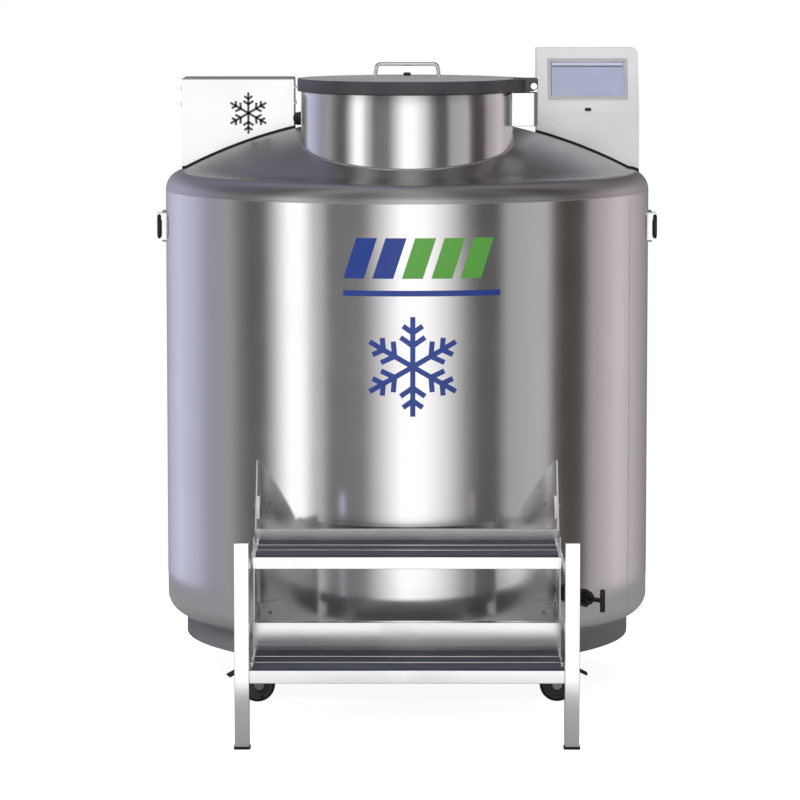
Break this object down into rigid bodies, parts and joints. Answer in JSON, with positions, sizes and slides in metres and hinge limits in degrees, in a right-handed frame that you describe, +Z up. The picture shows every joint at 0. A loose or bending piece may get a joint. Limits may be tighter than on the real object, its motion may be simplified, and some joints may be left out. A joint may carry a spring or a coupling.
{
  "type": "liquid nitrogen dewar",
  "caption": "Wide-neck stainless liquid nitrogen storage dewar with a hinged lid, inner carousel, controller and plumbing boxes, casters and a fixed step ladder.",
  "frame": {"origin": "where the vessel's vertical axis meets the floor", "axes": "+Z up, -Y towards the ladder at the front, +X towards the controller and lid hinge"},
  "size_m": [1.114, 1.4455, 1.395],
  "materials": {
    "polished_steel": "satin polished, fine vertical grain",
    "neck_steel": "satin polished",
    "sheet_steel": "bright brushed sheet",
    "base_paint": "grey satin paint",
    "tank_steel": "mill finish",
    "insulation": "metallised film layers",
    "glass_fibre": "glass-fibre laminate",
    "lid_black": "moulded, satin",
    "lid_grey": "satin grey",
    "foam": "closed-cell foam",
    "seal_rubber": "matt",
    "handle_steel": "polished rod",
    "screen_panel": "glossy display, off",
    "black_plastic": "satin",
    "brass_fitting": "machined",
    "dark_metal": "dark oxidised",
    "zinc_steel": "zinc plated",
    "tyre_black": "matt rubber",
    "grip_black": "ribbed rubber",
    "aluminium": "mill finish"
  },
  "bodies": {
    "vessel": {"base_ring": "base_paint", "outer_shell": "polished_steel", "top_head": "polished_steel", "neck_sleeve": "neck_steel", "neck_tube": "tank_steel", "inner_vessel": "tank_steel", "inner_head": "tank_steel", "insulation_wrap": "insulation", "bottom_support": "glass_fibre", "reservoir_deck": "tank_steel", "carousel_pivot": "tank_steel", "vacuum_port": "sheet_steel", "lifting_pads": "sheet_steel", "valve_body": "dark_metal", "plumbing_box": "sheet_steel", "housing_gaskets": "seal_rubber", "housing_screws": "handle_steel", "inlet_fitting": "brass_fitting", "relief_valve": "brass_fitting", "plumbing_conduit": "black_plastic", "controller_housing": "sheet_steel", "display_bezel": "sheet_steel", "display_screen": "screen_panel", "data_port": "black_plastic", "sensor_conduit": "black_plastic", "fill_tube": "tank_steel", "hinge_bracket": "sheet_steel", "hinge_pin": "handle_steel", "step_legs": "sheet_steel", "leg_pads": "seal_rubber", "side_plates": "sheet_steel", "side_rails": "sheet_steel", "step_tabs": "sheet_steel", "upper_tread": "sheet_steel", "lower_tread": "sheet_steel", "grip_strips": "grip_black", "step_bolts": "zinc_steel", "caster_plates": "zinc_steel"},
    "lid": {"lid_rim": "lid_black", "lid_cover": "lid_grey", "lid_plug": "foam", "lid_seal": "seal_rubber", "lid_handle": "handle_steel", "lid_vent_cap": "black_plastic"},
    "carousel": {"carousel_tray": "aluminium", "carousel_post": "aluminium", "carousel_dividers": "aluminium"},
    "valve_handle": {"valve_handle": "dark_metal"},
    "lifting_ring_left": {"lifting_ring_left": "dark_metal"},
    "lifting_ring_right": {"lifting_ring_right": "dark_metal"},
    "fork_front_left": {"caster_fork_front_left": "zinc_steel"},
    "wheel_front_left": {"caster_wheel_front_left": "tyre_black"},
    "fork_front_right": {"caster_fork_front_right": "zinc_steel"},
    "wheel_front_right": {"caster_wheel_front_right": "tyre_black"},
    "fork_rear_left": {"caster_fork_rear_left": "zinc_steel"},
    "wheel_rear_left": {"caster_wheel_rear_left": "tyre_black"},
    "fork_rear_right": {"caster_fork_rear_right": "zinc_steel"},
    "wheel_rear_right": {"caster_wheel_rear_right": "tyre_black"},
    "pedal_front_left": {"brake_pedal_front_left": "black_plastic"},
    "pedal_front_right": {"brake_pedal_front_right": "black_plastic"}
  },
  "joints": [
    {"name": "lid_hinge", "type": "hinge", "parent": "vessel", "child": "lid", "pos_m": [0.272, -0.215, 1.322], "axis": [0, 1, 0], "range_deg": [0, 90]},
    {"name": "carousel_spin", "type": "hinge", "parent": "vessel", "child": "carousel", "pos_m": [0, 0, 0.32], "axis": [0, 0, 1], "continuous": true},
    {"name": "valve_turn", "type": "hinge", "parent": "vessel", "child": "valve_handle", "pos_m": [0.35559, -0.39771, 0.238], "axis": [0.6665, -0.7455, 0], "range_deg": [-180, 180]},
    {"name": "lifting_ring_left_swing", "type": "hinge", "parent": "vessel", "child": "lifting_ring_left", "pos_m": [-0.549, 0, 1.026], "axis": [0, 1, 0], "range_deg": [0, 115]},
    {"name": "lifting_ring_right_swing", "type": "hinge", "parent": "vessel", "child": "lifting_ring_right", "pos_m": [0.549, 0, 1.026], "axis": [0, -1, 0], "range_deg": [0, 115]},
    {"name": "swivel_front_left", "type": "hinge", "parent": "vessel", "child": "fork_front_left", "pos_m": [-0.296, -0.34, 0.09], "axis": [0, 0, 1], "continuous": true},
    {"name": "roll_front_left", "type": "hinge", "parent": "fork_front_left", "child": "wheel_front_left", "pos_m": [-0.32305, -0.34725, 0.0375], "axis": [-0.2588, 0.9659, 0], "continuous": true},
    {"name": "brake_front_left", "type": "hinge", "parent": "fork_front_left", "child": "pedal_front_left", "pos_m": [-0.34236, -0.35242, 0.08], "axis": [0.2588, -0.9659, 0], "range_deg": [0, 12]},
    {"name": "swivel_front_right", "type": "hinge", "parent": "vessel", "child": "fork_front_right", "pos_m": [0.296, -0.34, 0.09], "axis": [0, 0, 1], "continuous": true},
    {"name": "roll_front_right", "type": "hinge", "parent": "fork_front_right", "child": "wheel_front_right", "pos_m": [0.324, -0.34, 0.0375], "axis": [0, -1, 0], "continuous": true},
    {"name": "brake_front_right", "type": "hinge", "parent": "fork_front_right", "child": "pedal_front_right", "pos_m": [0.344, -0.34, 0.08], "axis": [0, 1, 0], "range_deg": [0, 12]},
    {"name": "swivel_rear_left", "type": "hinge", "parent": "vessel", "child": "fork_rear_left", "pos_m": [-0.296, 0.34, 0.09], "axis": [0, 0, 1], "continuous": true},
    {"name": "roll_rear_left", "type": "hinge", "parent": "fork_rear_left", "child": "wheel_rear_left", "pos_m": [-0.32138, 0.35183, 0.0375], "axis": [0.4226, 0.9063, 0], "continuous": true},
    {"name": "swivel_rear_right", "type": "hinge", "parent": "vessel", "child": "fork_rear_right", "pos_m": [0.296, 0.34, 0.09], "axis": [0, 0, 1], "continuous": true},
    {"name": "roll_rear_right", "type": "hinge", "parent": "fork_rear_right", "child": "wheel_rear_right", "pos_m": [0.32025, 0.354, 0.0375], "axis": [0.5, -0.866, 0], "continuous": true}
  ]
}
